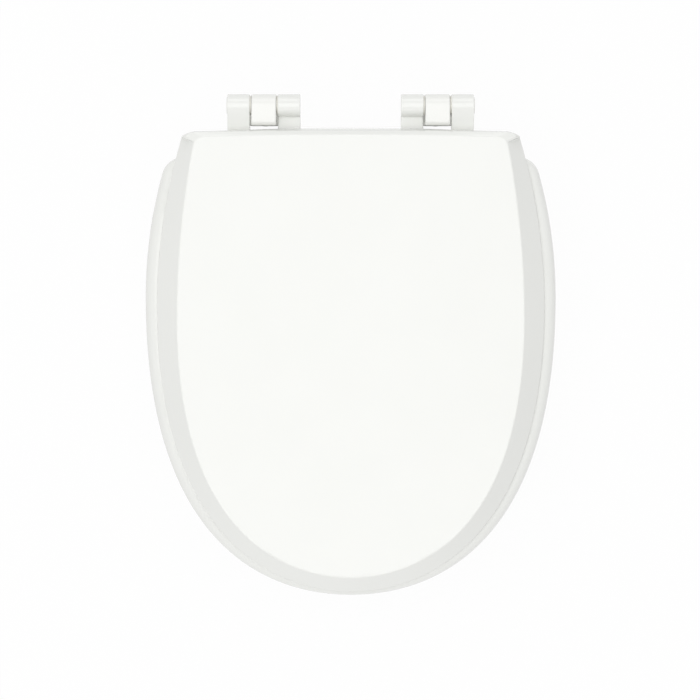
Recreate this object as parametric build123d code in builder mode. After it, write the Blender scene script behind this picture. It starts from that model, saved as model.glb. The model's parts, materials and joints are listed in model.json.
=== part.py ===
from build123d import *
import os
from dataclasses import astuple, dataclass

# A toilet seat: a lid over a ring, both swinging on two hinges that are bolted down through the pan.
# The origin lies on the pan's top face, midway between the two fixing bolts. X runs to the right,
# Y to the rear and Z up, so the nose of the seat points along minus Y. Sizes are in millimetres.
# A size called "ahead" is a distance in front of the hinge axis.

# Levels above the pan
hinge_height = 28.0
ring_underside = 8.0
ring_height = 18.0
lid_gap = 2.0
lid_height = 22.0

# Ring outline and walls
ring_half_width = 184.5
ring_widest_ahead = 171.0
ring_nose_ahead = 439.0
ring_rear_ahead = 45.0
ring_rear_inset = 19.4
ring_nose_fullness = 0.48
ring_side_fullness = 0.78
ring_corner_radius = 20.0
ring_edge_radius = 11.0
ring_foot_radius = 2.0
ring_wall = 6.0
ring_plate = 6.0
rib_thickness = 2.4
rib_recess = 1.5
rib_bars = 9

# Opening of the ring, and the dished slope that leads down to it
rim_side = 76.5
rim_front = 71.0
rim_rear = 49.0
opening_widest_shift = 57.0
opening_fullness = 0.58
opening_edge_radius = 7.0
dish_depth = 6.0
dish_side = 26.0
dish_front = 30.0
dish_rear = 24.0
dish_crest_radius = 30.0

# Lid outline: the skirt's lower edge inside the ring's, and the flat top inside the slanted band
reveal_side = 10.6
reveal_nose = 3.7
lid_widest_shift = 7.5
lid_rear_ahead = 20.0
lid_rear_inset = 34.4
lid_rear_bow = 4.1
lid_corner_width = 12.2
lid_corner_depth = 8.6
lid_nose_fullness = 0.404
lid_side_fullness = 0.805
band_side = 20.1
band_nose = 14.8
band_rear = 8.0
roll_foot_drop = 6.0
roll_foot_inset = 2.6
roll_brow_drop = 2.5
roll_brow_inset = 4.7
corner_foot_inset = 1.7
corner_brow_inset = 4.0
mitre_overlap = 8.0
band_rear_corner = 10.5
band_crease_side = 12.7
band_crease_rear = 6.3
top_widest_shift = 11.5
top_rear_bow = 2.2
top_nose_fullness = 0.235
top_side_fullness = 0.93
lid_wall = 6.0
lid_plate = 5.5
lid_edge_radius = 2.2
skirt_edge_radius = 0.8
lid_roof_radius = 4.0

# Hinges
hinge_spacing = 155.0
knuckle_radius = 10.0
knuckle_length = 20.0
knuckle_end_wall = 2.0
lid_arm_depth = 8.0
lid_arm_rise = 1.5
lid_arm_root = 16.5
arm_edge_radius = 0.8
ring_arm_step = 0.5
ring_arm_root = 22.0
post_width = 22.0
post_base_depth = 20.0
post_brow_gap = 1.5
post_brow_radius = 4.0
post_edge_radius = 1.0
foot_side = 8.0
foot_front = 15.0
foot_rear = 11.0
foot_corner_radius = 8.0
foot_thickness = 5.0
foot_edge_radius = 1.5
pad_thickness = 2.0
pad_margin = 0.8
side_clearance = 0.3
running_clearance = 0.05
press_clearance = 0.02

# Pin, bushes and caps
pin_radius = 4.0
pin_end_clearance = 0.5
pin_chamfer = 0.6
bush_wall = 2.0
flange_radius = 8.5
flange_thickness = 1.2
cap_radius = 7.5
cap_dome = 0.8

# Fixing below the pan
pan_thickness = 18.0
bolt_head_flats = 13.0
bolt_head_height = 5.3
bolt_neck_width = 8.0
bolt_shank_radius = 4.0
shank_clearance = 0.5
thread_depth = 0.4
bolt_reach = 58.0
bolt_chamfer = 1.0
slot_clearance = 0.2
thread_clearance = 0.1
cone_height = 9.0
cone_tip_radius = 6.0
cone_base_radius = 8.0
cone_flange_radius = 14.0
cone_flange_thickness = 3.0
washer_radius = 12.0
washer_thickness = 1.6
hub_radius = 8.5
hub_height = 11.0
hub_draft = 6.0
wing_span = 42.0
wing_height = 14.0
wing_drop = 3.0
wing_thickness = 3.6
wing_radius = 4.0

# Soft buffers
ring_buffer_radius = 12.0
ring_buffer_inset = 34.5
ring_buffer_rear_ahead = 120.0
ring_buffer_front_setback = 67.0
ring_buffer_front_half_width = 100.0
lid_buffer_radius = 7.0
lid_buffer_height = 6.0
lid_buffer_inset = 32.0
lid_buffer_ahead = 220.0
buffer_edge_radius = 1.5
buffer_rest_clearance = 0.3
boss_radius = 9.0
stem_radius = 3.0
stem_length = 7.0

# Values worked out from the sizes above
ring_top = ring_underside + ring_height
skirt_level = ring_top + lid_gap
ring_rear_half_width = ring_half_width - ring_rear_inset
opening_half_width = ring_half_width - rim_side
opening_widest_ahead = ring_widest_ahead + opening_widest_shift
opening_front_ahead = ring_nose_ahead - rim_front
opening_rear_ahead = ring_rear_ahead + rim_rear
hinge_x = hinge_spacing / 2
knuckle_start = post_width / 2 + side_clearance + flange_thickness
knuckle_end = knuckle_start + knuckle_length
bush_radius = pin_radius + running_clearance + bush_wall
pin_reach = knuckle_end - knuckle_end_wall - pin_end_clearance
foot_width = post_width + 2 * foot_side
foot_depth = foot_front + foot_rear
foot_middle = (foot_rear - foot_front) / 2
slot_floor = pad_thickness + foot_thickness
bolt_shank_length = pan_thickness - cone_height - shank_clearance
thread_radius = bolt_shank_radius - thread_depth
washer_top = -pan_thickness - cone_flange_thickness
nut_top = washer_top - washer_thickness
sides = {"left": -1, "right": 1}

os.makedirs("parts", exist_ok=True)


def save(piece, name):
    """Labels a finished piece and writes it out under its own name."""
    piece.part.label = name
    export_step(piece.part, f"parts/{name}.step")


def across(side, outward):
    """Gives the plane square to the hinge axis, at a distance outward from the post's middle."""
    return Plane.YZ.offset(side * (hinge_x + outward))


# Outlines


@dataclass
class LidEdge:
    """Sizes of one closed outline of the lid."""

    half_width: float
    widest: float
    nose: float
    nose_reach: float
    side_reach: float
    rear: float
    rear_half_width: float
    rear_corner: float
    crease_half_width: float
    crease: float


skirt_half_width = ring_half_width - reveal_side
skirt_nose = ring_nose_ahead - reveal_nose
lid_widest_ahead = ring_widest_ahead + lid_widest_shift
lid_rear_half_width = skirt_half_width - lid_rear_inset
lid_crease_half_width = lid_rear_half_width + lid_corner_width
lid_crease_ahead = lid_rear_ahead + lid_corner_depth
skirt_edge = LidEdge(
    half_width=skirt_half_width,
    widest=lid_widest_ahead,
    nose=skirt_nose,
    nose_reach=skirt_half_width * lid_nose_fullness,
    side_reach=(skirt_nose - lid_widest_ahead) * lid_side_fullness,
    rear=lid_rear_ahead,
    rear_half_width=lid_rear_half_width,
    rear_corner=lid_rear_ahead + lid_rear_bow,
    crease_half_width=lid_crease_half_width,
    crease=lid_crease_ahead,
)
top_half_width = skirt_half_width - band_side
top_nose = skirt_nose - band_nose
top_rear = lid_rear_ahead + band_rear
top_widest_ahead = lid_widest_ahead + top_widest_shift
top_rear_half_width = lid_rear_half_width - band_rear_corner
top_crease_half_width = lid_crease_half_width - band_crease_side
top_crease_ahead = lid_crease_ahead + band_crease_rear
top_edge = LidEdge(
    half_width=top_half_width,
    widest=top_widest_ahead,
    nose=top_nose,
    nose_reach=top_half_width * top_nose_fullness,
    side_reach=(top_nose - top_widest_ahead) * top_side_fullness,
    rear=top_rear,
    rear_half_width=top_rear_half_width,
    rear_corner=top_rear + top_rear_bow,
    crease_half_width=top_crease_half_width,
    crease=top_crease_ahead,
)


def between(low, high, share):
    return low + (high - low) * share


# The band ends at a straight mitre near each rear corner, from the skirt's edge up to the flat top
mitre_low = Vector(lid_crease_half_width, -lid_crease_ahead)
mitre_high = Vector(top_crease_half_width, -top_crease_ahead)
mitre_length = (mitre_high - mitre_low).length
mitre_run = (mitre_high - mitre_low).normalized()
mitre_outer = mitre_low - mitre_run * mitre_overlap
mitre_inner = mitre_high + mitre_run * mitre_overlap


def lid_edge(rise):
    """Gives the sizes of the lid's outline at a height above the skirt's edge."""
    sizes = zip(astuple(skirt_edge), astuple(top_edge))
    return LidEdge(*(between(low, high, rise / lid_height) for low, high in sizes))


def band_section(rise):
    """Draws the outline of the slanted band, whose sides run on past the mitres."""
    edge = lid_edge(rise)
    widest_point = Vector(edge.half_width, -edge.widest)
    crease_point = Vector(edge.crease_half_width, -edge.crease)
    with BuildSketch(Plane.XY.offset(skirt_level + rise)) as section:
        with BuildLine():
            Bezier(
                (0, -edge.nose),
                (edge.nose_reach, -edge.nose),
                (edge.half_width, -edge.widest - edge.side_reach),
                widest_point,
            )
            side = TangentArc(widest_point, crease_point, tangent=(0, 1))
            tail = Line(crease_point, crease_point + (side % 1) * mitre_overlap)
            Line(tail @ 1, (0, (tail @ 1).Y))
            mirror(about=Plane.YZ)
        make_face()
    return section.sketch


def rear_section(rise, rear_inset, corner_inset):
    """Draws the strip behind the two mitres at a height above the skirt's edge.

    The insets say how far the rolled edge has come in there, at the middle and along the mitres.
    """
    corner_share = corner_inset / mitre_length
    rear = between(skirt_edge.rear, top_edge.rear, rear_inset / band_rear)
    corner_low = Vector(skirt_edge.rear_half_width, -skirt_edge.rear_corner)
    corner_high = Vector(top_edge.rear_half_width, -top_edge.rear_corner)
    corner = between(corner_low, corner_high, corner_share)
    mitre_end = between(mitre_low, mitre_high, corner_share)
    with BuildSketch(Plane.XY.offset(skirt_level + rise)) as section:
        with BuildLine():
            rear_line = TangentArc((0, -rear), corner, tangent=(1, 0))
            TangentArc(corner, mitre_end, tangent=rear_line % 1)
            Line(mitre_end, mitre_inner)
            Line(mitre_inner, (0, mitre_inner.Y))
            mirror(about=Plane.YZ)
        make_face()
    return section.sketch


def hollow_section(rise, rear_inset):
    """Draws the outline of the hollow under the lid, one wall inside the lid's own outline."""
    edge = lid_edge(rise)
    rear_share = rear_inset / band_rear
    rear = between(skirt_edge.rear, top_edge.rear, rear_share) + lid_wall
    corner_ahead = between(skirt_edge.rear_corner, top_edge.rear_corner, rear_share) + lid_wall
    half_width = edge.half_width - lid_wall
    nose = edge.nose - lid_wall
    widest_point = (half_width, -edge.widest)
    crease_point = (edge.crease_half_width - lid_wall, -edge.crease - lid_wall)
    rear_corner = (edge.rear_half_width - lid_wall, -corner_ahead)
    with BuildSketch(Plane.XY.offset(skirt_level + rise)) as section:
        with BuildLine():
            Bezier(
                (0, -nose),
                (edge.nose_reach, -nose),
                (half_width, -edge.widest - edge.side_reach + lid_wall),
                widest_point,
            )
            TangentArc(widest_point, crease_point, tangent=(0, 1))
            rear_line = TangentArc((0, -rear), rear_corner, tangent=(1, 0))
            TangentArc(rear_corner, crease_point, tangent=rear_line % 1)
            mirror(about=Plane.YZ)
        make_face()
    return section.sketch


def ring_section(level, inset):
    """Draws the ring's outer outline at a height above the pan, moved inwards by a wall."""
    half_width = ring_half_width - inset
    nose = ring_nose_ahead - inset
    rear_half_width = ring_rear_half_width - inset
    rear = ring_rear_ahead + inset
    side_reach = (nose - ring_widest_ahead) * ring_side_fullness
    with BuildSketch(Plane.XY.offset(level)) as section:
        with BuildLine():
            Bezier(
                (0, -nose),
                (half_width * ring_nose_fullness, -nose),
                (half_width, -ring_widest_ahead - side_reach),
                (half_width, -ring_widest_ahead),
            )
            TangentArc((half_width, -ring_widest_ahead), (rear_half_width, -rear), tangent=(0, 1))
            mirror(about=Plane.YZ)
            Line((-rear_half_width, -rear), (rear_half_width, -rear))
        make_face()
        fillet(section.vertices().group_by(Axis.Y)[-1], ring_corner_radius - inset)
    return section.sketch


def opening_section(level, side, front, rear):
    """Draws the egg of the ring's opening at a height above the pan, grown by three margins."""
    half_width = opening_half_width + side
    front_edge = -opening_front_ahead - front
    rear_edge = -opening_rear_ahead + rear
    widest = -opening_widest_ahead
    reach = half_width * opening_fullness
    with BuildSketch(Plane.XY.offset(level)) as section:
        with BuildLine():
            Bezier(
                (0, front_edge),
                (reach, front_edge),
                (half_width, widest + (front_edge - widest) * opening_fullness),
                (half_width, widest),
            )
            Bezier(
                (half_width, widest),
                (half_width, widest + (rear_edge - widest) * opening_fullness),
                (reach, rear_edge),
                (0, rear_edge),
            )
            mirror(about=Plane.YZ)
        make_face()
    return section.sketch


def dish_sections(level):
    """Gives the two outlines of the dish: the opening below, and the crest at the given height."""
    return [
        opening_section(level - dish_depth, 0, 0, 0),
        opening_section(level, dish_side, dish_front, dish_rear),
    ]


# Lid: a hollow shell with a slanted band, which ends at a mitre in front of the full rear corners

lid_roof_rise = lid_height - lid_plate
lid_buffer_seat = ring_top + buffer_rest_clearance + lid_buffer_height
lid_buffer_half_width = skirt_half_width - lid_buffer_inset
roof_level = skirt_level + lid_roof_rise

# The lid's knuckles stand on arms that pass under its rear edge and end in gussets in the hollow
arm_edge = -lid_rear_ahead - lid_rear_bow
arm_front = arm_edge - lid_arm_root
arm_underside = skirt_level - lid_arm_depth
wall_at_roof = arm_edge - roll_foot_inset - lid_wall / 2

with BuildPart() as lid_arms:
    for side in sides.values():
        with BuildSketch(across(side, knuckle_start)):
            with Locations((0, hinge_height)):
                Circle(knuckle_radius)
            with Locations((arm_edge, arm_underside)):
                Rectangle(lid_wall / 4, lid_arm_depth + lid_arm_rise, align=(Align.MAX, Align.MIN))
            make_hull()
            with BuildLine():
                Polyline(
                    (arm_edge, arm_underside),
                    (arm_front, arm_underside),
                    (arm_front, roof_level),
                    (wall_at_roof, roof_level),
                    (arm_edge, skirt_level + lid_arm_rise),
                    close=True,
                )
            make_face()
        extrude(amount=side * knuckle_length)
    fillet(lid_arms.faces().filter_by(Axis.X).edges(), arm_edge_radius)

# Heights on the rolled rear edge, each with its insets at the middle and along the mitres
roll_foot = (lid_height - roll_foot_drop, roll_foot_inset, corner_foot_inset)
roll_brow = (lid_height - roll_brow_drop, roll_brow_inset, corner_brow_inset)
roll_top = (lid_height, band_rear, mitre_length)

with BuildPart() as rear_strip:
    rear_heights = [(0, 0, 0), roll_foot, roll_brow, roll_top]
    loft([rear_section(*height) for height in rear_heights], ruled=True)
    fillet(rear_strip.edges().group_by(Axis.Z)[0].filter_by(GeomType.CIRCLE), skirt_edge_radius)

with BuildPart() as lid:
    loft([band_section(0), band_section(lid_height)], ruled=True)
    fillet(lid.edges().group_by(Axis.Z)[0], skirt_edge_radius)
    with BuildSketch(Plane.XY.offset(skirt_level)):
        with BuildLine():
            Polyline((0, mitre_inner.Y), mitre_inner, mitre_outer, (mitre_outer.X, 0), (0, 0))
            mirror(about=Plane.YZ)
        make_face()
    extrude(amount=lid_height, mode=Mode.SUBTRACT)
    add(rear_strip.part)

    # The rim of the flat top and the upper edges of the mitres are rounded
    rounded = lid.edges().group_by(Axis.Z)[-1]
    for lower, upper in ((roll_foot, roll_brow), (roll_brow, roll_top)):
        middle = between(Vector(*lower), Vector(*upper), 0.5)
        place = between(mitre_low, mitre_high, middle.Z / mitre_length)
        for side in sides.values():
            near = Vector(side * place.X, place.Y, skirt_level + middle.X)
            rounded += lid.edges().sort_by_distance(near)[:1]
    fillet(rounded, lid_edge_radius)
    roof_inset = roll_foot_inset * lid_roof_rise / (lid_height - roll_foot_drop)
    loft(
        [hollow_section(0, 0), hollow_section(lid_roof_rise, roof_inset)],
        ruled=True,
        mode=Mode.SUBTRACT,
    )
    fillet(lid.edges().filter_by_position(Axis.Z, roof_level, roof_level), lid_roof_radius)

    # Bosses for the two buffers, with blind sockets for their stems
    for side in sides.values():
        place = (side * lid_buffer_half_width, -lid_buffer_ahead)
        with BuildSketch(Plane.XY.offset(lid_buffer_seat)):
            with Locations(place):
                Circle(boss_radius)
        extrude(amount=roof_level - lid_buffer_seat)
        with BuildSketch(Plane.XY.offset(lid_buffer_seat)):
            with Locations(place):
                Circle(stem_radius + press_clearance)
        extrude(amount=stem_length + press_clearance, mode=Mode.SUBTRACT)

    # Bores for the bushes, and recesses for the caps
    add(lid_arms.part)
    for side in sides.values():
        with BuildSketch(across(side, knuckle_start)):
            with Locations((0, hinge_height)):
                Circle(bush_radius + press_clearance)
        extrude(amount=side * knuckle_length, mode=Mode.SUBTRACT)
        with BuildSketch(across(side, knuckle_end)):
            with Locations((0, hinge_height)):
                Circle(cap_radius + press_clearance)
        extrude(amount=-side * knuckle_end_wall, mode=Mode.SUBTRACT)

save(lid, "lid")

# Seat ring: a channel section, rounded at the rim and dished towards the egg-shaped opening

channel_depth = ring_height - ring_plate
ring_buffer_rear_half_width = ring_half_width - ring_buffer_inset
ring_buffer_front_ahead = ring_nose_ahead - ring_buffer_front_setback
ring_buffer_places = {
    "front_left": (-ring_buffer_front_half_width, -ring_buffer_front_ahead),
    "front_right": (ring_buffer_front_half_width, -ring_buffer_front_ahead),
    "rear_left": (-ring_buffer_rear_half_width, -ring_buffer_rear_ahead),
    "rear_right": (ring_buffer_rear_half_width, -ring_buffer_rear_ahead),
}

with BuildPart() as channel:
    extrude(ring_section(ring_underside, ring_wall), amount=channel_depth)
    inner_wall = opening_section(ring_underside, ring_wall, ring_wall, ring_wall)
    extrude(inner_wall, amount=channel_depth, mode=Mode.SUBTRACT)
    loft(dish_sections(ring_underside + channel_depth), ruled=True, mode=Mode.SUBTRACT)

    # Slots through the channel, which leave the stiffening ribs standing between its two walls
    with BuildSketch(Plane((0, -opening_widest_ahead, ring_underside + rib_recess))):
        with PolarLocations(0, rib_bars, start_angle=90 / rib_bars, angular_range=180):
            Rectangle(2 * ring_nose_ahead, rib_thickness)
    extrude(amount=channel_depth, mode=Mode.SUBTRACT)

# The ring's knuckles stand on deep arms that run forward into the channel, clear below the lid's skirt
ring_arm_top = ring_top - ring_arm_step
ring_arm_front = -ring_rear_ahead - ring_arm_root

with BuildPart() as ring_arms:
    for side in sides.values():
        with BuildSketch(across(side, -knuckle_end)):
            with Locations((0, hinge_height)):
                Circle(knuckle_radius)
            with BuildLine():
                Polyline(
                    (0, hinge_height - knuckle_radius),
                    (-ring_rear_ahead - ring_wall, ring_underside),
                    (ring_arm_front, ring_underside),
                    (ring_arm_front, ring_arm_top),
                    (0, ring_arm_top),
                    close=True,
                )
            make_face()
        extrude(amount=side * knuckle_length)
    fillet(ring_arms.faces().filter_by(Axis.X).edges(), arm_edge_radius)

with BuildPart() as seat_ring:
    extrude(ring_section(ring_underside, 0), amount=ring_height)
    fillet(seat_ring.edges().group_by(Axis.Z)[-1], ring_edge_radius)
    fillet(seat_ring.edges().group_by(Axis.Z)[0], ring_foot_radius)
    loft(dish_sections(ring_top), ruled=True, mode=Mode.SUBTRACT)
    top_face = seat_ring.faces().filter_by(Axis.Z).sort_by(Axis.Z)[-1]
    fillet(top_face.inner_wires()[0].edges(), dish_crest_radius)
    extrude(opening_section(ring_underside, 0, 0, 0), amount=ring_height, mode=Mode.SUBTRACT)
    opening_lip = seat_ring.edges().filter_by_position(Axis.Z, ring_top - dish_depth, ring_top - dish_depth)
    fillet(opening_lip, opening_edge_radius)
    add(channel.part, mode=Mode.SUBTRACT)

    # Bosses for the four buffers, with blind sockets for their stems
    for place in ring_buffer_places.values():
        with BuildSketch(Plane.XY.offset(ring_underside)):
            with Locations(place):
                Circle(boss_radius)
        extrude(amount=channel_depth)
        with BuildSketch(Plane.XY.offset(ring_underside)):
            with Locations(place):
                Circle(stem_radius + press_clearance)
        extrude(amount=stem_length + press_clearance, mode=Mode.SUBTRACT)

    # Blind bores for the bushes
    add(ring_arms.part)
    for side in sides.values():
        with BuildSketch(across(side, -knuckle_start)):
            with Locations((0, hinge_height)):
                Circle(bush_radius + press_clearance)
        extrude(amount=side * (knuckle_end_wall - knuckle_length), mode=Mode.SUBTRACT)

save(seat_ring, "seat_ring")

# Soft buffers, pressed into the bosses by their stems

for name, place in ring_buffer_places.items():
    with BuildPart() as ring_buffer:
        with BuildSketch(Plane.XY):
            with Locations(place):
                Circle(ring_buffer_radius)
        extrude(amount=ring_underside)
        fillet(ring_buffer.edges().group_by(Axis.Z)[0], buffer_edge_radius)
        with BuildSketch(Plane.XY.offset(ring_underside)):
            with Locations(place):
                Circle(stem_radius)
        extrude(amount=stem_length)
    save(ring_buffer, f"ring_buffer_{name}")

for hand, side in sides.items():
    place = (side * lid_buffer_half_width, -lid_buffer_ahead)
    with BuildPart() as lid_buffer:
        with BuildSketch(Plane.XY.offset(lid_buffer_seat)):
            with Locations(place):
                Circle(lid_buffer_radius)
        extrude(amount=-lid_buffer_height)
        fillet(lid_buffer.edges().group_by(Axis.Z)[0], buffer_edge_radius)
        with BuildSketch(Plane.XY.offset(lid_buffer_seat)):
            with Locations(place):
                Circle(stem_radius)
        extrude(amount=stem_length)
    save(lid_buffer, f"lid_buffer_{hand}")

# Hinge posts: a head that carries the pin and reaches forward in a brow, on a neck and a broad foot
# with a slot for the bolt

brow_middle = post_brow_gap + post_brow_radius - lid_rear_ahead
head_corner_radius = bolt_head_flats / 3**0.5
neck_corner_radius = bolt_neck_width / 2**0.5

for hand, side in sides.items():
    with BuildPart() as foot:
        with BuildSketch(Plane.XY.offset(pad_thickness)):
            with Locations((side * hinge_x, foot_middle)):
                RectangleRounded(foot_width, foot_depth, foot_corner_radius)
        extrude(amount=foot_thickness)
        fillet(foot.edges().group_by(Axis.Z)[-1], foot_edge_radius)

    with BuildPart() as hinge_post:
        with BuildSketch(across(side, -post_width / 2)):
            with Locations((0, hinge_height)):
                Circle(knuckle_radius)
            with Locations((brow_middle, hinge_height + knuckle_radius - post_brow_radius)):
                Circle(post_brow_radius)
            with Locations((0, pad_thickness)):
                Rectangle(post_base_depth, foot_thickness, align=(Align.CENTER, Align.MIN))
            make_hull()
        extrude(amount=side * post_width)
        end_faces = hinge_post.faces().filter_by(Axis.X)
        fillet(end_faces.edges(), post_edge_radius)
        add(foot.part)
        with BuildSketch(Plane.XY.offset(slot_floor)):
            with Locations((side * hinge_x, -head_corner_radius - slot_clearance)):
                Rectangle(
                    bolt_head_flats + 2 * slot_clearance,
                    foot_depth,
                    align=(Align.CENTER, Align.MIN),
                )
        extrude(amount=bolt_head_height + slot_clearance, mode=Mode.SUBTRACT)
        with BuildSketch(Plane.XY.offset(pad_thickness)):
            with Locations((side * hinge_x, -bolt_neck_width / 2 - slot_clearance)):
                Rectangle(
                    bolt_neck_width + 2 * slot_clearance,
                    foot_depth,
                    align=(Align.CENTER, Align.MIN),
                )
        extrude(amount=foot_thickness, mode=Mode.SUBTRACT)
        with BuildSketch(across(side, -post_width / 2)):
            with Locations((0, hinge_height)):
                Circle(pin_radius + press_clearance)
        extrude(amount=side * post_width, mode=Mode.SUBTRACT)
    save(hinge_post, f"hinge_post_{hand}")

# Hinge pins, with a flanged bush in each knuckle and a cap over the outer end

for hand, side in sides.items():
    with BuildPart() as hinge_pin:
        with BuildSketch(across(side, -pin_reach)):
            with Locations((0, hinge_height)):
                Circle(pin_radius)
        extrude(amount=side * 2 * pin_reach)
        chamfer(hinge_pin.edges().filter_by(GeomType.CIRCLE), pin_chamfer)
    save(hinge_pin, f"hinge_pin_{hand}")

    # The ring's bush lies towards the middle of the seat, and the lid's lies outward of the post
    for carrier, towards in {"ring": -1, "lid": 1}.items():
        with BuildPart() as bush:
            with BuildSketch(across(side, towards * knuckle_start)):
                with Locations((0, hinge_height)):
                    Circle(bush_radius)
            extrude(amount=side * towards * (knuckle_length - knuckle_end_wall))
            with BuildSketch(across(side, towards * knuckle_start)):
                with Locations((0, hinge_height)):
                    Circle(flange_radius)
            extrude(amount=-side * towards * flange_thickness)
            with BuildSketch(across(side, 0)):
                with Locations((0, hinge_height)):
                    Circle(pin_radius + running_clearance)
            extrude(amount=side * towards * knuckle_end, mode=Mode.SUBTRACT)
        save(bush, f"{carrier}_bush_{hand}")

    with BuildPart() as pin_cap:
        with BuildSketch(across(side, knuckle_end - knuckle_end_wall)):
            with Locations((0, hinge_height)):
                Circle(cap_radius)
        extrude(amount=side * (knuckle_end_wall + cap_dome))
        outer_face = pin_cap.faces().sort_by(Axis.X)[0 if side < 0 else -1]
        fillet(outer_face.edges(), cap_dome)
    save(pin_cap, f"pin_cap_{hand}")

# Fixings: a bolt that hangs in the post's slot, a pad above the pan, and washers and a nut below

for hand, side in sides.items():
    bolt_place = (side * hinge_x, 0)

    with BuildPart() as fixing_bolt:
        with BuildSketch(Plane.XY.offset(slot_floor)):
            with Locations(bolt_place):
                RegularPolygon(bolt_head_flats / 2, 6, major_radius=False, rotation=30)
        extrude(amount=bolt_head_height)
        with BuildSketch(Plane.XY):
            with Locations(bolt_place):
                Rectangle(bolt_neck_width, bolt_neck_width)
        extrude(amount=slot_floor)
        with BuildSketch(Plane.XY):
            with Locations(bolt_place):
                Circle(bolt_shank_radius)
        extrude(amount=-bolt_shank_length)
        with BuildSketch(Plane.XY.offset(-bolt_shank_length)):
            with Locations(bolt_place):
                Circle(thread_radius)
        extrude(amount=bolt_shank_length - bolt_reach)
        chamfer(fixing_bolt.edges().group_by(Axis.Z)[0], bolt_chamfer)
    save(fixing_bolt, f"fixing_bolt_{hand}")

    with BuildPart() as base_pad:
        with BuildSketch(Plane.XY):
            with Locations((side * hinge_x, foot_middle)):
                RectangleRounded(
                    foot_width + 2 * pad_margin,
                    foot_depth + 2 * pad_margin,
                    foot_corner_radius + pad_margin,
                )
            with Locations(bolt_place):
                Circle(neck_corner_radius + slot_clearance, mode=Mode.SUBTRACT)
        extrude(amount=pad_thickness)
    save(base_pad, f"base_pad_{hand}")

    thread_bore = thread_radius + thread_clearance
    with BuildPart() as cone_washer:
        with BuildSketch(Plane(origin=(*bolt_place, 0), x_dir=(1, 0, 0), z_dir=(0, -1, 0))):
            with BuildLine():
                Polyline(
                    (thread_bore, cone_height - pan_thickness),
                    (cone_tip_radius, cone_height - pan_thickness),
                    (cone_base_radius, -pan_thickness),
                    (cone_flange_radius, -pan_thickness),
                    (cone_flange_radius, washer_top),
                    (thread_bore, washer_top),
                    close=True,
                )
            make_face()
        revolve(axis=Axis((*bolt_place, 0), (0, 0, 1)))
    save(cone_washer, f"cone_washer_{hand}")

    with BuildPart() as flat_washer:
        with BuildSketch(Plane.XY.offset(nut_top)):
            with Locations(bolt_place):
                Circle(washer_radius)
                Circle(bolt_shank_radius + slot_clearance, mode=Mode.SUBTRACT)
        extrude(amount=washer_thickness)
    save(flat_washer, f"flat_washer_{hand}")

    with BuildPart() as wing_nut:
        with BuildSketch(Plane.XZ):
            with Locations((side * hinge_x, nut_top - wing_drop)):
                wings = Rectangle(wing_span, wing_height, align=(Align.CENTER, Align.MAX))
            fillet(wings.vertices(), wing_radius)
        extrude(amount=wing_thickness / 2, both=True)
        fillet(wing_nut.edges(), wing_thickness / 4)
        with BuildSketch(Plane.XY.offset(nut_top)):
            with Locations(bolt_place):
                Circle(hub_radius)
        extrude(amount=-hub_height, taper=hub_draft)
        with BuildSketch(Plane.XY.offset(nut_top)):
            with Locations(bolt_place):
                Circle(thread_bore)
        extrude(amount=-wing_drop - wing_height, mode=Mode.SUBTRACT)
    save(wing_nut, f"wing_nut_{hand}")
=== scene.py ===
# %% [markdown]
# # A white toilet seat
# The solids of the seat come from a imported CAD model: a lid, a ring, two hinges and the fixings that hold
# them to the pan. This lesson gives every solid its finish, mirrors the lid from its cleaner half, and
# models the small soft parts and the threads that the solids leave plain. Then it sets up the floor, the
# light and the camera of a plain catalogue picture.
#
# The first step loads the model as a frame. Nothing in it is moved from here on. The box of the solids is
# kept, and the last step measures the box of the dressed model.

# %% Load the frame
import json
import math

import bmesh
import bpy
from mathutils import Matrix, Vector


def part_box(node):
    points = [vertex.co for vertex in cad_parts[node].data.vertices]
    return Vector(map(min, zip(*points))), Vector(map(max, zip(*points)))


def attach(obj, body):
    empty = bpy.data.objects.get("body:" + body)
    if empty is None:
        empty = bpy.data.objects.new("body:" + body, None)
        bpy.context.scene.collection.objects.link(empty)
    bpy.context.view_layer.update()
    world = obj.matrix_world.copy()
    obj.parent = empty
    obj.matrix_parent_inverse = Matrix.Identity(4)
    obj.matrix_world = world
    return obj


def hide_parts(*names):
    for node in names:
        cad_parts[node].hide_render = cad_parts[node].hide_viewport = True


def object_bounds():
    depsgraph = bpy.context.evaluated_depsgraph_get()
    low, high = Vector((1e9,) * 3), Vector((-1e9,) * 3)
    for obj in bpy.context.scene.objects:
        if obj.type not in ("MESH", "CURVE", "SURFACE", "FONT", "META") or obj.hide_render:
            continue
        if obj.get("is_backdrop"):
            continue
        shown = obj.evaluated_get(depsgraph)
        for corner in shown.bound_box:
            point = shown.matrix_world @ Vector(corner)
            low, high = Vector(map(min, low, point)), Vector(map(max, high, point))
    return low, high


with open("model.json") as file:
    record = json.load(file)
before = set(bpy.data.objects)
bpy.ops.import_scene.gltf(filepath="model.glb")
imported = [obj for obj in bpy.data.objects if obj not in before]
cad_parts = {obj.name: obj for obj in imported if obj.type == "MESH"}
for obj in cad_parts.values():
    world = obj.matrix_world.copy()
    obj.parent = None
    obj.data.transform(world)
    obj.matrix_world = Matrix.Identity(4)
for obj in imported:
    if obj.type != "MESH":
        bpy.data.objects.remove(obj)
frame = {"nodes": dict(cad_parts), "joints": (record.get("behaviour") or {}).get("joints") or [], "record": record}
nodes = frame["nodes"]
cad_low, cad_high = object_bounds()
print("nodes:", len(nodes), "box:", tuple(cad_low), tuple(cad_high))

# %% [markdown]
# ## A way to write shaders as sums
# A finish is a small network of nodes. Wiring it by hand takes many lines, so one class stands for a value
# in the network. Adding or multiplying such values adds the Math nodes by itself, and the method `node`
# makes any other kind of node: its settings come first, and then what goes into its sockets.

# %% Values of a shader


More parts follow.
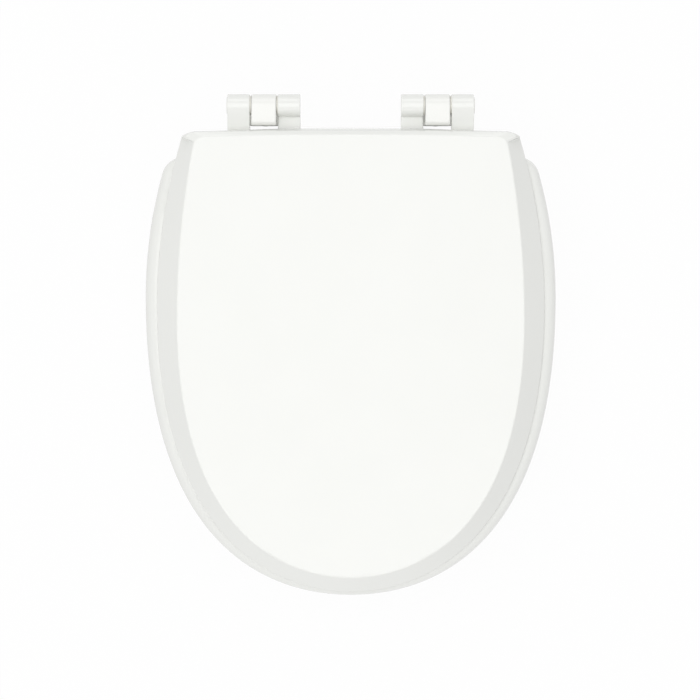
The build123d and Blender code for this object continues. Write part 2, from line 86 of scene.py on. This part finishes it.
class Value:
    """One output socket in a material's network, usable in sums with numbers and other values."""

    def __init__(self, tree, socket=None):
        self.tree = tree
        self.socket = socket

    def node(self, kind, settings=(), sockets=(), output=0):
        """Adds a node, applies its settings, fills its sockets and gives one of its outputs."""
        made = self.tree.nodes.new(kind)
        for name, setting in dict(settings).items():
            setattr(made, name, setting)
        for name, value in dict(sockets).items():
            if isinstance(value, Value):
                self.tree.links.new(value.socket, made.inputs[name])
            else:
                made.inputs[name].default_value = value
        return Value(self.tree, made.outputs[output] if made.outputs else None)

    def math(self, operation, first, second):
        """Adds a Math node for two values, or for a value and a number."""
        return self.node("ShaderNodeMath", {"operation": operation}, {0: first, 1: second})

    def __add__(self, other):
        return self.math("ADD", self, other)

    def __radd__(self, other):
        return self.math("ADD", other, self)

    def __mul__(self, other):
        return self.math("MULTIPLY", self, other)

    def __rmul__(self, other):
        return self.math("MULTIPLY", other, self)


print("shader values ready")

# %% [markdown]
# ## Words for finishes
# Most finishes here need the same few things: a place on the object, random mottling of some grain, a
# colour between two shades, and a height that tilts the light. Each becomes a short function. The place is
# read from Object coordinates, so a pattern stays on its piece when the lid or the ring swings up.

# %% Helpers for finishes

# A Mix node has sockets of the same names for numbers, vectors and colours, so its colours go by index.
mix_colour_a = 6
mix_colour_b = 7
mix_colour_result = 2


def new_material(name):
    """Makes an empty material and gives it with a Value to start its network from."""
    material = bpy.data.materials.new(name)
    material.use_nodes = True
    material.node_tree.nodes.clear()
    return material, Value(material.node_tree)


def place_on_object(start, stretch=(1.0, 1.0, 1.0)):
    """A point of the object in metres. A stretch below 1 draws a pattern out along that axis."""
    place = start.node("ShaderNodeTexCoord", output="Object")
    return start.node("ShaderNodeMapping", {}, {"Vector": place, "Scale": stretch})


def noise(start, place, grain, detail=2.0):
    """Soft random mottling, whose patches are about grain metres across."""
    return start.node("ShaderNodeTexNoise", {}, {"Vector": place, "Scale": 1 / grain, "Detail": detail})


def ramp(start, value, low, high):
    """Spreads the stretch of a value from low to high over 0 to 1."""
    sockets = {"Value": value, "From Min": low, "From Max": high}
    return start.node("ShaderNodeMapRange", {"clamp": True}, sockets)


def tint(start, share, dark, light):
    """A colour between dark and light, by a share from 0 to 1."""
    sockets = {"Factor": share, mix_colour_a: (*dark, 1.0), mix_colour_b: (*light, 1.0)}
    return start.node("ShaderNodeMix", {"data_type": "RGBA"}, sockets, output=mix_colour_result)


def bump(start, height, depth):
    """A normal that follows a height from 0 to 1, scaled to a depth in metres."""
    return start.node("ShaderNodeBump", {}, {"Strength": 1.0, "Distance": depth, "Height": height})


def surface(start, sockets):
    """Ends a network with a Principled shader."""
    shader = start.node("ShaderNodeBsdfPrincipled", {}, sockets)
    start.node("ShaderNodeOutputMaterial", {}, {"Surface": shader})


finishes = {}
print("helpers for finishes ready")

# %% [markdown]
# ## Gloss white plastic
# The lid and the ring are compression-moulded and come out of polished steel tools. The face is glossy and
# very slightly uneven like orange peel, with a faint mottling of the white and dull smears where a cloth
# has wiped it. A flat white would look like paper, so the gloss changes slowly over the face.

# %% Lid and ring finish

mm = 0.001
white_low = (0.868, 0.876, 0.846)
white_high = (0.892, 0.898, 0.870)
mottle_grain = 60 * mm
smear_grain = 35 * mm
peel_grain = 6 * mm
peel_depth = 0.0015 * mm
polish_roughness = 0.10
smear_roughness = 0.10
plastic_ior = 1.5


def gloss_white(slot):
    """Moulded gloss plastic with a faint mottling, smears and orange peel."""
    material, start = new_material(slot)
    place = place_on_object(start)
    mottle = noise(start, place, mottle_grain)
    smear = noise(start, place, smear_grain, detail=4.0)
    peel = noise(start, place, peel_grain, detail=1.0)
    surface(
        start,
        {
            "Base Color": tint(start, mottle, white_low, white_high),
            "Roughness": polish_roughness + smear_roughness * smear,
            "IOR": plastic_ior,
            "Normal": bump(start, peel, peel_depth),
        },
    )
    finishes[slot] = material


gloss_white("lid_plastic")
gloss_white("ring_plastic")
print("finishes:", sorted(finishes))

# %% [markdown]
# ## Satin plastics of the hinges and fixings
# Posts and caps are injection-moulded in tools with a fine spark-eroded grain, so they are less shiny than
# the lid. The bushes and the wing nuts are nylon, which is a little cream and cloudy. All three are one
# recipe with different shades, grain and gloss.

# %% Hinge, bush and nut finishes

cloud_grain = 12 * mm
spark_depth = 0.006 * mm
spark_roughness = 0.12


def satin_plastic(slot, dark, light, spark_grain, roughness):
    """Cloudy plastic with the fine grain of a spark-eroded tool."""
    material, start = new_material(slot)
    place = place_on_object(start)
    cloud = noise(start, place, cloud_grain, detail=3.0)
    spark = noise(start, place, spark_grain, detail=2.0)
    surface(
        start,
        {
            "Base Color": tint(start, cloud, dark, light),
            "Roughness": roughness + spark_roughness * spark,
            "IOR": plastic_ior,
            "Normal": bump(start, spark, spark_depth),
        },
    )
    finishes[slot] = material


satin_plastic(
    "hinge_plastic",
    dark=(0.895, 0.898, 0.866),
    light=(0.915, 0.917, 0.888),
    spark_grain=0.6 * mm,
    roughness=0.20,
)
satin_plastic(
    "bush_plastic",
    dark=(0.740, 0.725, 0.665),
    light=(0.790, 0.778, 0.722),
    spark_grain=0.9 * mm,
    roughness=0.32,
)
satin_plastic(
    "nut_plastic",
    dark=(0.800, 0.795, 0.755),
    light=(0.845, 0.840, 0.805),
    spark_grain=0.8 * mm,
    roughness=0.30,
)
print("finishes:", sorted(finishes))

# %% [markdown]
# ## Metals of the pins, bolts and washers
# The hinge pins are drawn stainless rod, so fine lines run along them, from left to right. The bolts and
# the washers are steel with a bright zinc plate, which shows small crystals with a cold and a warm sheen. A
# pattern that is drawn out along one axis gives the lines, and a cell pattern gives the crystals.

# %% Stainless finish

drawn_out = (0.02, 1.0, 1.0)
rod_dark = (0.560, 0.560, 0.550)
rod_light = (0.680, 0.680, 0.670)
line_grain = 0.3 * mm
line_depth = 0.003 * mm
rod_roughness = 0.18
line_roughness = 0.20


def drawn_stainless(slot):
    """Bright rod with the fine lines of drawing along it."""
    material, start = new_material(slot)
    lines = noise(start, place_on_object(start, drawn_out), line_grain, detail=3.0)
    surface(
        start,
        {
            "Base Color": tint(start, lines, rod_dark, rod_light),
            "Metallic": 1.0,
            "Roughness": rod_roughness + line_roughness * lines,
            "Normal": bump(start, lines, line_depth),
        },
    )
    finishes[slot] = material


drawn_stainless("stainless")
print("finishes:", sorted(finishes))

# %% Zinc finish

zinc_cold = (0.560, 0.590, 0.630)
zinc_warm = (0.660, 0.640, 0.590)
crystal_grain = 1.6 * mm
haze_depth = 0.003 * mm
zinc_roughness = 0.22
haze_roughness = 0.16
crystal_roughness = 0.06


def bright_zinc(slot):
    """Zinc plate, in which each crystal has a sheen of its own under an uneven haze."""
    material, start = new_material(slot)
    place = place_on_object(start)
    cells = {"Vector": place, "Scale": 1 / crystal_grain}
    crystals = start.node("ShaderNodeTexVoronoi", {}, cells, output="Color")
    sheen = start.node("ShaderNodeSeparateColor", {}, {"Color": crystals}, output="Red")
    haze = noise(start, place, crystal_grain, detail=3.0)
    surface(
        start,
        {
            "Base Color": tint(start, sheen, zinc_cold, zinc_warm),
            "Metallic": 1.0,
            "Roughness": zinc_roughness + haze_roughness * haze + crystal_roughness * sheen,
            "Normal": bump(start, haze, haze_depth),
        },
    )
    finishes[slot] = material


bright_zinc("zinc_steel")
print("finishes:", sorted(finishes))

# %% [markdown]
# ## Rubber
# The feet under the ring and the lid are soft white rubber, and the pads and cone washers are grey. Moulded
# rubber is matt, with a fine grain and small lighter specks where its chalky filler comes to the surface.
# Both are far too small to model. A fine noise roughens the skin, and a coarser one goes through a ramp
# that keeps only its peaks, which gives specks that stand apart.

# %% Rubber finishes

speck_grain = 1.1 * mm
speck_start = 0.52
speck_full = 0.70
skin_grain = 0.4 * mm
skin_depth = 0.012 * mm
rubber_roughness = 0.62
skin_roughness = 0.22
rubber_ior = 1.5


def matt_rubber(slot, body, chalk):
    """Dull rubber with a fine skin and chalky specks."""
    material, start = new_material(slot)
    place = place_on_object(start)
    specks = ramp(start, noise(start, place, speck_grain, detail=2.0), speck_start, speck_full)
    skin = noise(start, place, skin_grain, detail=2.0)
    surface(
        start,
        {
            "Base Color": tint(start, specks, body, chalk),
            "Roughness": rubber_roughness + skin_roughness * skin,
            "IOR": rubber_ior,
            "Normal": bump(start, skin, skin_depth),
        },
    )
    finishes[slot] = material


matt_rubber("pad_rubber", body=(0.500, 0.500, 0.480), chalk=(0.590, 0.590, 0.570))
matt_rubber("buffer_rubber", body=(0.770, 0.770, 0.735), chalk=(0.830, 0.830, 0.800))
print("finishes:", sorted(finishes))

# %% [markdown]
# ## Every solid gets its finish
# The record of the model says which material slot each solid belongs to. One loop hands out the finishes by
# that name, so a solid can't be forgotten.

# %% Give each node its finish

for subpart in frame["record"]["subparts"]:
    node = nodes[subpart["node"]]
    node.data.materials.clear()
    node.data.materials.append(finishes[subpart["material_slot"]])

# %% [markdown]
# ## Tools for modelling by hand
# The next pieces are modelled as one would at the screen: add a primitive, go into edit mode, select some
# faces or edges, and inset, extrude or bevel them. Here the selecting is done by a question about each face
# or edge, such as whether it lies at the bottom.

# %% Helpers for modelling

# Heights closer than this are the same, and a face whose normal is this upright looks up or down.
near = 0.01 * mm
facing = 0.9


def select_only(piece):
    """Makes a piece the active object, and the only selected one."""
    bpy.ops.object.select_all(action="DESELECT")
    piece.select_set(True)
    bpy.context.view_layer.objects.active = piece


def start_piece(name, primitive, **sizes):
    """Adds a primitive as the only selected object and opens it in face mode."""
    bpy.ops.object.select_all(action="DESELECT")
    primitive(**sizes)
    piece = bpy.context.active_object
    piece.name = name
    bpy.ops.object.mode_set(mode="EDIT")
    bpy.ops.mesh.select_mode(type="FACE")
    return piece


def pick(piece, kind, wanted):
    """Selects just the faces or the edges for which wanted is true."""
    bpy.ops.mesh.select_all(action="DESELECT")
    bpy.ops.mesh.select_mode(type=kind)
    mesh = bmesh.from_edit_mesh(piece.data)
    for element in mesh.faces if kind == "FACE" else mesh.edges:
        if wanted(element):
            element.select_set(True)
    mesh.select_flush_mode()
    bmesh.update_edit_mesh(piece.data)


def looks_up(face):
    return face.normal.z > facing


def looks_down(face):
    return face.normal.z < -facing


def push(up):
    """Extrudes the selected faces up, or down where it is negative."""
    bpy.ops.mesh.extrude_region_move(TRANSFORM_OT_translate={"value": (0, 0, up)})


print("helpers for modelling ready")

# %% [markdown]
# ## Finishing and copying a piece
# A finished piece is rounded and smoothed, its place is put into its mesh, and it is tied to the body that
# it moves with. What repeats is modelled once, and each copy goes to the place of its own solid, so no
# distance has to be written down.

# %% Helpers for finishing

bevel_segments = 3
bevel_angle = math.radians(40)
smooth_angle = math.radians(35)


def apply_modifier(piece, kind, **settings):
    """Adds a modifier to the active piece and applies it at once."""
    modifier = piece.modifiers.new(kind.lower(), kind)
    for name, setting in settings.items():
        setattr(modifier, name, setting)
    bpy.ops.object.modifier_apply(modifier=modifier.name)


def end_piece(piece, edge_radius=None):
    """Rounds the sharp edges, smooths the shading and puts the piece's place into its mesh."""
    bpy.ops.object.mode_set(mode="OBJECT")
    if edge_radius:
        apply_modifier(piece, "BEVEL", width=edge_radius, segments=bevel_segments, angle_limit=bevel_angle)
    bpy.ops.object.shade_smooth_by_angle(angle=smooth_angle)
    bpy.ops.object.transform_apply(location=True, rotation=True, scale=True)


def middle(node):
    """The middle of a solid's box."""
    low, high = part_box(node)
    return (low + high) / 2


def copy_piece(piece, name, own_node, twin_node):
    """Copies a finished piece with a mesh of its own, from the place of its solid to that of a like one."""
    select_only(piece)
    bpy.ops.object.duplicate()
    twin = bpy.context.active_object
    twin.name = name
    twin.location = middle(twin_node) - middle(own_node)
    bpy.ops.object.transform_apply(location=True, rotation=True, scale=True)
    return twin


def dress(piece, body, slot, node=None):
    """Gives a piece its body and finish, and the solid that it stands for."""
    piece.data.materials.clear()
    piece.data.materials.append(finishes[slot])
    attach(piece, body)
    if node:
        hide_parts(node)


print("helpers for finishing ready")

# %% [markdown]
# ## The shell of the lid
# The lid is the piece that everybody looks at. In the solids its left rear corner is a little rough, where
# three roundings meet, and the right one is clean. That corner could be smoothed by hand, but the moulded
# lid is the same on both sides, so a copy of its mesh is welded, cut along the middle and mirrored from the
# clean half. Edges sharper than a set angle stay crisp in the shading, such as the mitres at the rear ends
# of the band. Elsewhere large faces outweigh small ones in the normals, which keeps the top flat right up
# to its rounded rim.

# %% Cut the lid along its middle

weld_distance = 0.001 * mm

lid_shell = bpy.data.objects.new("lid_shell", nodes["lid"].data.copy())
bpy.context.scene.collection.objects.link(lid_shell)
select_only(lid_shell)
bpy.ops.mesh.customdata_custom_splitnormals_clear()
bpy.ops.object.mode_set(mode="EDIT")
bpy.ops.mesh.select_all(action="SELECT")
bpy.ops.mesh.remove_doubles(threshold=weld_distance)
bpy.ops.mesh.select_all(action="SELECT")
bpy.ops.mesh.bisect(plane_co=(0, 0, 0), plane_no=(1, 0, 0), clear_inner=True, threshold=weld_distance)
bpy.ops.object.mode_set(mode="OBJECT")
print("faces of half the lid:", len(lid_shell.data.polygons))

# %% Mirror the clean half and shade it

crease_angle = math.radians(18)

apply_modifier(lid_shell, "MIRROR", merge_threshold=weld_distance)
bpy.ops.object.mode_set(mode="EDIT")
bpy.ops.mesh.select_all(action="SELECT")
bpy.ops.mesh.normals_make_consistent(inside=False)
bpy.ops.object.mode_set(mode="OBJECT")
bpy.ops.object.shade_smooth_by_angle(angle=crease_angle)
apply_modifier(lid_shell, "WEIGHTED_NORMAL", keep_sharp=True)
dress(lid_shell, "lid", "lid_plastic", "lid")
print("faces of the lid:", len(lid_shell.data.polygons))

# %% [markdown]
# ## Soft feet under the ring and the lid
# Each foot is a round rubber button with a stem that is pressed into a boss. Its sole has a moulded groove,
# so that it grips what it rests on and doesn't stick to it like a suction cup. A profile could be spun
# round for it, but from a cylinder each step is a size of the real foot. The top face is inset and drawn up
# into the stem. The edge of the sole is rounded, and its flat face is inset and pushed in, inset again and
# pushed back out, which leaves the groove.

# %% Model one foot of each kind

foot_sides = 72
stem_radius = 3.0 * mm
stem_length = 7.0 * mm
sole_edge_radius = 1.5 * mm
sole_edge_segments = 6
sole_rim = 3.4 * mm
groove_width = 1.4 * mm
groove_depth = 0.9 * mm
foot_edge_radius = 0.25 * mm


def model_foot(name, node):
    """Models a foot in the place of its solid."""
    low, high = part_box(node)
    radius = (high.x - low.x) / 2
    shoulder = high.z - stem_length
    foot = start_piece(
        name,
        bpy.ops.mesh.primitive_cylinder_add,
        vertices=foot_sides,
        radius=radius,
        depth=shoulder - low.z,
        location=(middle(node).x, middle(node).y, (low.z + shoulder) / 2),
    )
    pick(foot, "FACE", looks_up)
    bpy.ops.mesh.inset(thickness=radius - stem_radius)
    push(stem_length)
    bottom = min(vertex.co.z for vertex in bmesh.from_edit_mesh(foot.data).verts)
    pick(foot, "EDGE", lambda edge: all(vertex.co.z < bottom + near for vertex in edge.verts))
    bpy.ops.mesh.bevel(offset=sole_edge_radius, segments=sole_edge_segments)
    pick(foot, "FACE", lambda face: looks_down(face) and face.calc_center_median().z < bottom + near)
    bpy.ops.mesh.inset(thickness=sole_rim - sole_edge_radius)
    push(groove_depth)
    bpy.ops.mesh.inset(thickness=groove_width)
    push(-groove_depth)
    end_piece(foot, foot_edge_radius)
    print(name, "faces:", len(foot.data.polygons))
    return foot


ring_foot = model_foot("ring_foot_front_left", "ring_buffer_front_left")
lid_foot = model_foot("lid_foot_left", "lid_buffer_left")

# %% [markdown]
# The four feet under the ring are one moulding, and so are the two under the lid. One of each is in place
# now, and the others are copies of it.

# %% Copy the feet to their places

dress(ring_foot, "ring", "buffer_rubber", "ring_buffer_front_left")
for corner in ("front_right", "rear_left", "rear_right"):
    twin = copy_piece(ring_foot, "ring_foot_" + corner, "ring_buffer_front_left", "ring_buffer_" + corner)
    dress(twin, "ring", "buffer_rubber", "ring_buffer_" + corner)
    print(twin.name, "at", tuple(middle("ring_buffer_" + corner)))
dress(lid_foot, "lid", "buffer_rubber", "lid_buffer_left")
twin = copy_piece(lid_foot, "lid_foot_right", "lid_buffer_left", "lid_buffer_right")
dress(twin, "lid", "buffer_rubber", "lid_buffer_right")
print(twin.name, "at", tuple(middle("lid_buffer_right")))

# %% [markdown]
# ## Pads under the hinges
# A soft pad under each hinge foot keeps the hard plastic off the glaze. It starts as a cube: its upright
# edges are bevelled into broad corners, a bore for the bolt is cut with a Boolean modifier, and the rim is
# rounded all round, as on a piece that was moulded rather than cut from a sheet.

# %% Model the pads

pad_corner = 8.8 * mm
pad_corner_segments = 10
pad_bore = 5.86 * mm
pad_edge_radius = 0.6 * mm
drill_depth = 10 * mm
drill_sides = 48


def cut_bore(piece, place, radius):
    """Cuts a round bore down through a piece, with a cylinder that is thrown away afterwards."""
    bpy.ops.object.mode_set(mode="OBJECT")
    bpy.ops.object.select_all(action="DESELECT")
    bpy.ops.mesh.primitive_cylinder_add(
        vertices=drill_sides, radius=radius, depth=drill_depth, location=place
    )
    drill = bpy.context.active_object
    bpy.context.view_layer.objects.active = piece
    apply_modifier(piece, "BOOLEAN", object=drill, operation="DIFFERENCE")
    bpy.data.objects.remove(drill)
    piece.select_set(True)


low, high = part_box("base_pad_left")
pad_left = start_piece(
    "pad_left", bpy.ops.mesh.primitive_cube_add, size=1.0, location=(low + high) / 2, scale=high - low
)
bpy.ops.object.mode_set(mode="OBJECT")
bpy.ops.object.transform_apply(location=False, rotation=False, scale=True)
bpy.ops.object.mode_set(mode="EDIT")
pick(pad_left, "EDGE", lambda edge: abs(edge.verts[0].co.z - edge.verts[1].co.z) > near)
bpy.ops.mesh.bevel(offset=pad_corner, segments=pad_corner_segments)
cut_bore(pad_left, (middle("fixing_bolt_left").x, 0, low.z), pad_bore)
end_piece(pad_left, pad_edge_radius)
dress(pad_left, "mounting", "pad_rubber", "base_pad_left")
twin = copy_piece(pad_left, "pad_right", "base_pad_left", "base_pad_right")
dress(twin, "mounting", "pad_rubber", "base_pad_right")
print("faces of a pad:", len(pad_left.data.polygons))

# %% [markdown]
# ## Cone washers
# Below the pan a soft cone on a flange centres the bolt in its hole. A cylinder makes the flange. Its top
# face is inset and drawn up, and the end is made smaller, which gives the cone. The bore could be cut as in
# the pads, but both ends are flat and round, so it is simpler to inset them to the bore and bridge the two.

# %% Model the cone washers

cone_sides = 64
cone_height = 9.0 * mm
cone_base_radius = 8.0 * mm
cone_tip_radius = 6.0 * mm
cone_bore = 3.7 * mm
cone_edge_radius = 0.5 * mm

low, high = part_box("cone_washer_left")
axis = middle("cone_washer_left")
flange_top = high.z - cone_height
flange_radius = (high.x - low.x) / 2
cone_left = start_piece(
    "cone_left",
    bpy.ops.mesh.primitive_cylinder_add,
    vertices=cone_sides,
    radius=flange_radius,
    depth=flange_top - low.z,
    location=(axis.x, axis.y, (low.z + flange_top) / 2),
)
pick(cone_left, "FACE", looks_up)
bpy.ops.mesh.inset(thickness=flange_radius - cone_base_radius)
push(cone_height)
shrink = cone_tip_radius / cone_base_radius
bpy.ops.transform.resize(value=(shrink, shrink, 1.0))
bpy.ops.mesh.inset(thickness=cone_tip_radius - cone_bore)
pick(cone_left, "FACE", looks_down)
bpy.ops.mesh.inset(thickness=flange_radius - cone_bore)
pick(cone_left, "FACE", lambda face: len(face.verts) == cone_sides)
bpy.ops.mesh.bridge_edge_loops()
end_piece(cone_left, cone_edge_radius)
dress(cone_left, "mounting", "pad_rubber", "cone_washer_left")
twin = copy_piece(cone_left, "cone_right", "cone_washer_left", "cone_washer_right")
dress(twin, "mounting", "pad_rubber", "cone_washer_right")
print("faces of a cone washer:", len(cone_left.data.polygons))

# %% [markdown]
# ## Threads on the bolts
# The solids show each bolt as a plain cylinder, a little thinner than its thread. A bump could draw the
# thread, but the outline of the bolt would stay smooth, so it is modelled as a tooth wound round the bolt
# like a string round a stick. A small plane becomes the tooth's section: it is turned upright and moved out
# to the bolt's surface, its outer edge is narrowed to the crest, and only its outline is kept.

# %% Shape the tooth

bolt_radius = 3.6 * mm
crest_radius = 4.0 * mm
tooth_sunk = 0.1 * mm
tooth_root_width = 1.1 * mm
tooth_crest_width = 0.2 * mm
thread_start = -57.2 * mm
quarter_turn = math.radians(90)

tooth_depth = crest_radius - bolt_radius + tooth_sunk
thread_base = (middle("fixing_bolt_left").x, 0, thread_start)
thread_left = start_piece("thread_left", bpy.ops.mesh.primitive_plane_add, size=1.0, location=thread_base)
bpy.ops.transform.resize(value=(tooth_depth, tooth_root_width, 1.0))
bpy.ops.transform.rotate(value=quarter_turn, orient_axis="X", center_override=thread_base)
bpy.ops.transform.translate(value=(crest_radius - tooth_depth / 2, 0, 0))
pick(thread_left, "EDGE", lambda edge: all(vertex.co.x > bolt_radius for vertex in edge.verts))
bpy.ops.transform.resize(value=(1.0, 1.0, tooth_crest_width / tooth_root_width))
bpy.ops.mesh.select_all(action="SELECT")
bpy.ops.mesh.delete(type="ONLY_FACE")
bpy.ops.object.mode_set(mode="OBJECT")
print("corners of the tooth:", len(thread_left.data.vertices))

# %% [markdown]
# A Screw modifier then winds the tooth up the bolt, by one pitch a turn. It leaves both ends of the thread
# open, so they are filled, and the faces are turned outwards.

# %% Wind the threads

thread_pitch = 1.25 * mm
thread_end = -34.0 * mm
steps_a_turn = 32
tooth_corners = 4

turns = round((thread_end - thread_start) / thread_pitch)
apply_modifier(
    thread_left,
    "SCREW",
    screw_offset=thread_pitch,
    iterations=turns,
    steps=steps_a_turn,
    render_steps=steps_a_turn,
)
bpy.ops.object.mode_set(mode="EDIT")
bpy.ops.mesh.select_all(action="SELECT")
bpy.ops.mesh.fill_holes(sides=tooth_corners)
bpy.ops.mesh.normals_make_consistent(inside=False)
end_piece(thread_left)
dress(thread_left, "mounting", "zinc_steel")
twin = copy_piece(thread_left, "thread_right", "fixing_bolt_left", "fixing_bolt_right")
dress(twin, "mounting", "zinc_steel")
print("turns of a thread:", turns, "faces:", len(thread_left.data.polygons))

# %% [markdown]
# ## Floor
# A catalogue picture has a white ground with hardly a shadow. The floor is a plain pale plane. It lies low
# enough to clear the bolts, and the lid too when it has swung right over: past half a turn its nose dips
# below the hinges, by an amount that follows from the joints' limits and the lid's length and height.

# %% Lay the floor

floor_size = 12.0
floor_gap = 0.5 * mm

# The limits of the joints are in degrees.
half_turn = 180

hinge_level = frame["joints"][0]["pos_m"][2]
swing = sum(joint["range_deg"][1] for joint in frame["joints"])
past_level = math.radians(swing - half_turn)
lid_low, lid_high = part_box("lid")
lid_dip = -lid_low.y * math.sin(past_level) + (lid_high.z - hinge_level) * math.cos(past_level)
floor_level = min(cad_low.z, hinge_level - lid_dip) - floor_gap

bpy.ops.object.select_all(action="DESELECT")
bpy.ops.mesh.primitive_plane_add(size=floor_size, location=(0, 0, floor_level))
floor = bpy.context.active_object
floor.name = "floor"
floor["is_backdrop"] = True
print("floor at", floor.location.z)

# %% [markdown]
# A pale paint alone would come out a little grey, and more light would bleach the seat. So rays that come
# straight from the camera, or from a reflection, see the floor mostly as plain white, and a small share of
# its own paint keeps a breath of the seat's shadow.

# %% Paint the floor

white = (1.0, 1.0, 1.0, 1.0)
pale = (0.94, 0.94, 0.94, 1.0)
shadow_share = 0.05


def seen_rays(start):
    """Gives 1 for a ray that shows the background: straight, in a gloss or through glass."""
    seen = start.node("ShaderNodeLightPath", output="Is Camera Ray")
    gloss = start.node("ShaderNodeLightPath", output="Is Glossy Ray")
    through = start.node("ShaderNodeLightPath", output="Is Transmission Ray")
    limited = {"operation": "ADD", "use_clamp": True}
    return start.node("ShaderNodeMath", limited, {0: seen + gloss, 1: through})


def white_floor():
    """Pale paint that mostly glows white for the rays that see it."""
    material, start = new_material("white_floor")
    paint = start.node("ShaderNodeBsdfDiffuse", {}, {"Color": pale})
    glow = start.node("ShaderNodeEmission", {}, {"Color": white, "Strength": 1.0})
    share = seen_rays(start) * (1 - shadow_share)
    mixed = start.node("ShaderNodeMixShader", {}, {"Fac": share, 1: paint, 2: glow})
    start.node("ShaderNodeOutputMaterial", {}, {"Surface": mixed})
    return material


floor.data.materials.append(white_floor())
print("floor material:", floor.data.materials[0].name)

# %% [markdown]
# ## Light
# The picture was taken in soft, nearly even light. A white room gives most of it. What is seen of the room,
# straight or in a reflection, is plain white, and the light that it casts is dimmer.

# %% The white room

ambient = 0.60

world = bpy.data.worlds.new("white_room")
bpy.context.scene.world = world
world.use_nodes = True
world.node_tree.nodes.clear()
start = Value(world.node_tree)
strength = ambient + (1 - ambient) * seen_rays(start)
glow = start.node("ShaderNodeBackground", {}, {"Color": white, "Strength": strength})
start.node("ShaderNodeOutputWorld", {}, {"Surface": glow})
print("light of the room:", ambient)

# %% [markdown]
# A broad soft box hangs over the seat, a little to the left, so that the left band of the lid is a shade
# lighter than the right one. Two smaller boxes stand low: one in front lifts the band at the nose, and one
# behind the hinges lifts the rear edge and the small corner faces.

# %% Soft boxes


def soft_box(name, place, aim, size, power):
    """A square lamp at a place, turned towards a point."""
    lamp = bpy.data.lights.new(name, "AREA")
    lamp.shape = "SQUARE"
    lamp.size = size
    lamp.energy = power
    box = bpy.data.objects.new(name, lamp)
    bpy.context.scene.collection.objects.link(box)
    box.location = place
    box.rotation_euler = (Vector(aim) - Vector(place)).to_track_quat("-Z", "Y").to_euler()
    print(name, "at", place, "power", power)


seat_middle = (0, -0.22, 0.03)
lid_rear = (0, -0.02, 0.04)
soft_box("overhead_light", place=(-0.36, -0.25, 3.0), aim=seat_middle, size=2.2, power=29.0)
soft_box("front_light", place=(-0.1, -2.0, 1.4), aim=seat_middle, size=1.2, power=5.0)
soft_box("rear_light", place=(0, 1.6, 1.3), aim=lid_rear, size=1.0, power=5.0)

# %% [markdown]
# ## Camera
# The camera looks straight down from two metres. Its field at the ring's height is 630 mm wide, which puts
# the seat at the same size and place in the square picture as in the photograph.

# %% Camera

picture_width = 0.63
camera_distance = 2.0
picture_level = 0.015
picture_middle = (-0.0006, -0.2187)

camera_data = bpy.data.cameras.new("camera")
camera = bpy.data.objects.new("camera", camera_data)
bpy.context.scene.collection.objects.link(camera)
bpy.context.scene.camera = camera
camera.location = (*picture_middle, picture_level + camera_distance)
camera_data.lens = camera_data.sensor_width * camera_distance / picture_width
bpy.context.scene.view_settings.view_transform = "Standard"
print("lens:", camera_data.lens)

# %% [markdown]
# ## Sizes
# The box of the dressed model has to stay the box of the solids. The last step measures the box of the dressed
# model.

# %% Measure the dressed model

bpy.context.view_layer.update()
low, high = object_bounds()
